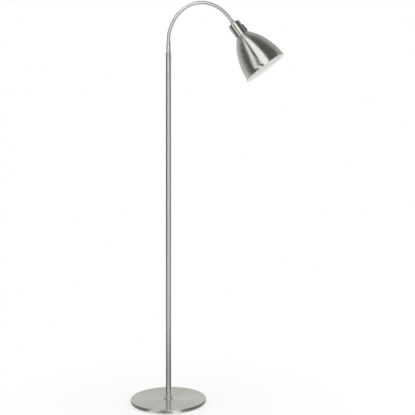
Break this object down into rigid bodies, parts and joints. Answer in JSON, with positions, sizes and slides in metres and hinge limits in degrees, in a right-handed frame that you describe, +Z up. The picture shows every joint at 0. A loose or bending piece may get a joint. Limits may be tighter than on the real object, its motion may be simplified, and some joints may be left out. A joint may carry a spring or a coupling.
{
  "type": "gooseneck reading floor lamp",
  "caption": "Floor-standing reading lamp with a heavy round base, a slim pole, a flexible neck and a bell-shaped metal shade with a rocker switch on its collar.",
  "frame": {"origin": "centre of the base's underside, on the floor", "axes": "+Z up along the pole, +X the way the neck bends over and the head reaches, +Y towards the cord gland at the back of the base"},
  "size_m": [0.5123, 0.2515, 1.3417],
  "materials": {
    "brushed_nickel": "brushed",
    "cast_weight": "as cast, painted",
    "foam_pad": "matt foam",
    "black_rubber": "matt",
    "zinc_steel": "zinc plated",
    "lead_sheath": "matt",
    "core_insulation": "matt",
    "black_gloss": "gloss",
    "holder_plastic": "satin",
    "brass": "bright",
    "shade_metal": "brushed outside, white enamel inside",
    "bulb_cap_metal": "bright",
    "opal_glass": "opal"
  },
  "bodies": {
    "stand": {"base_cover": "brushed_nickel", "base_weight": "cast_weight", "base_pad": "foam_pad", "cord_gland": "black_rubber", "foot_flange": "brushed_nickel", "flange_screws": "zinc_steel", "pole_section_1": "brushed_nickel", "pole_section_2": "brushed_nickel", "pole_section_3": "brushed_nickel", "pole_joint_studs": "zinc_steel", "pole_joint_bushes": "zinc_steel", "pole_top_cap": "brushed_nickel", "lead_base_to_neck": "lead_sheath", "neck_lower_ferrule": "brushed_nickel", "neck_link_00": "brushed_nickel"},
    "link_01": {"neck_link_01": "brushed_nickel", "neck_lead_01": "lead_sheath"},
    "link_02": {"neck_link_02": "brushed_nickel", "neck_lead_02": "lead_sheath"},
    "link_03": {"neck_link_03": "brushed_nickel", "neck_lead_03": "lead_sheath"},
    "link_04": {"neck_link_04": "brushed_nickel", "neck_lead_04": "lead_sheath"},
    "link_05": {"neck_link_05": "brushed_nickel", "neck_lead_05": "lead_sheath"},
    "link_06": {"neck_link_06": "brushed_nickel", "neck_lead_06": "lead_sheath"},
    "link_07": {"neck_link_07": "brushed_nickel", "neck_lead_07": "lead_sheath"},
    "link_08": {"neck_link_08": "brushed_nickel", "neck_lead_08": "lead_sheath"},
    "link_09": {"neck_link_09": "brushed_nickel", "neck_lead_09": "lead_sheath"},
    "link_10": {"neck_link_10": "brushed_nickel", "neck_lead_10": "lead_sheath"},
    "link_11": {"neck_link_11": "brushed_nickel", "neck_lead_11": "lead_sheath"},
    "head": {"neck_link_12": "brushed_nickel", "neck_upper_ferrule": "brushed_nickel", "collar": "brushed_nickel", "collar_locknut": "zinc_steel", "holder_bracket": "zinc_steel", "switch_body": "black_gloss", "switch_terminals": "brass", "lamp_holder_body": "holder_plastic", "lamp_holder_shell": "brass", "lamp_holder_contact": "brass", "lamp_holder_terminals": "brass", "shade_ring": "holder_plastic", "shade": "shade_metal", "bulb_cap": "bulb_cap_metal", "bulb_glass": "opal_glass", "head_lead": "lead_sheath", "head_cores": "core_insulation"},
    "rocker": {"switch_rocker": "black_gloss"}
  },
  "joints": [
    {"name": "neck_bend_01", "type": "hinge", "parent": "stand", "child": "link_01", "pos_m": [0, 0, 1.211], "axis": [0, 1, 0], "range_deg": [-30, 5]},
    {"name": "neck_side_bend_02", "type": "hinge", "parent": "link_01", "child": "link_02", "pos_m": [0.00305, 0, 1.23777], "axis": [0.9744, 0, -0.225], "range_deg": [-18, 18]},
    {"name": "neck_bend_03", "type": "hinge", "parent": "link_02", "child": "link_03", "pos_m": [0.01149, 0, 1.26337], "axis": [0, 1, 0], "range_deg": [-30, 5]},
    {"name": "neck_bend_04", "type": "hinge", "parent": "link_03", "child": "link_04", "pos_m": [0.02446, 0, 1.28701], "axis": [0, 1, 0], "range_deg": [-30, 5]},
    {"name": "neck_bend_05", "type": "hinge", "parent": "link_04", "child": "link_05", "pos_m": [0.04187, 0, 1.30758], "axis": [0, 1, 0], "range_deg": [-30, 5]},
    {"name": "neck_bend_06", "type": "hinge", "parent": "link_05", "child": "link_06", "pos_m": [0.06359, 0, 1.3235], "axis": [0, 1, 0], "range_deg": [-30, 5]},
    {"name": "neck_side_bend_07", "type": "hinge", "parent": "link_06", "child": "link_07", "pos_m": [0.08868, 0, 1.33326], "axis": [0.2334, 0, -0.9724], "range_deg": [-18, 18]},
    {"name": "neck_bend_08", "type": "hinge", "parent": "link_07", "child": "link_08", "pos_m": [0.11546, 0, 1.33584], "axis": [0, 1, 0], "range_deg": [-30, 5]},
    {"name": "neck_bend_09", "type": "hinge", "parent": "link_08", "child": "link_09", "pos_m": [0.14195, 0, 1.33105], "axis": [0, 1, 0], "range_deg": [-30, 5]},
    {"name": "neck_bend_10", "type": "hinge", "parent": "link_09", "child": "link_10", "pos_m": [0.16636, 0, 1.31967], "axis": [0, 1, 0], "range_deg": [-30, 5]},
    {"name": "neck_side_bend_11", "type": "hinge", "parent": "link_10", "child": "link_11", "pos_m": [0.1876, 0, 1.30307], "axis": [-0.6947, 0, -0.7193], "range_deg": [-18, 18]},
    {"name": "neck_bend_12", "type": "hinge", "parent": "link_11", "child": "head", "pos_m": [0.20529, 0, 1.28272], "axis": [0, 1, 0], "range_deg": [-30, 5]},
    {"name": "switch_rocker_hinge", "type": "hinge", "parent": "head", "child": "rocker", "pos_m": [0.25451, 0, 1.24951], "axis": [0, 1, 0], "range_deg": [0, 16]}
  ]
}
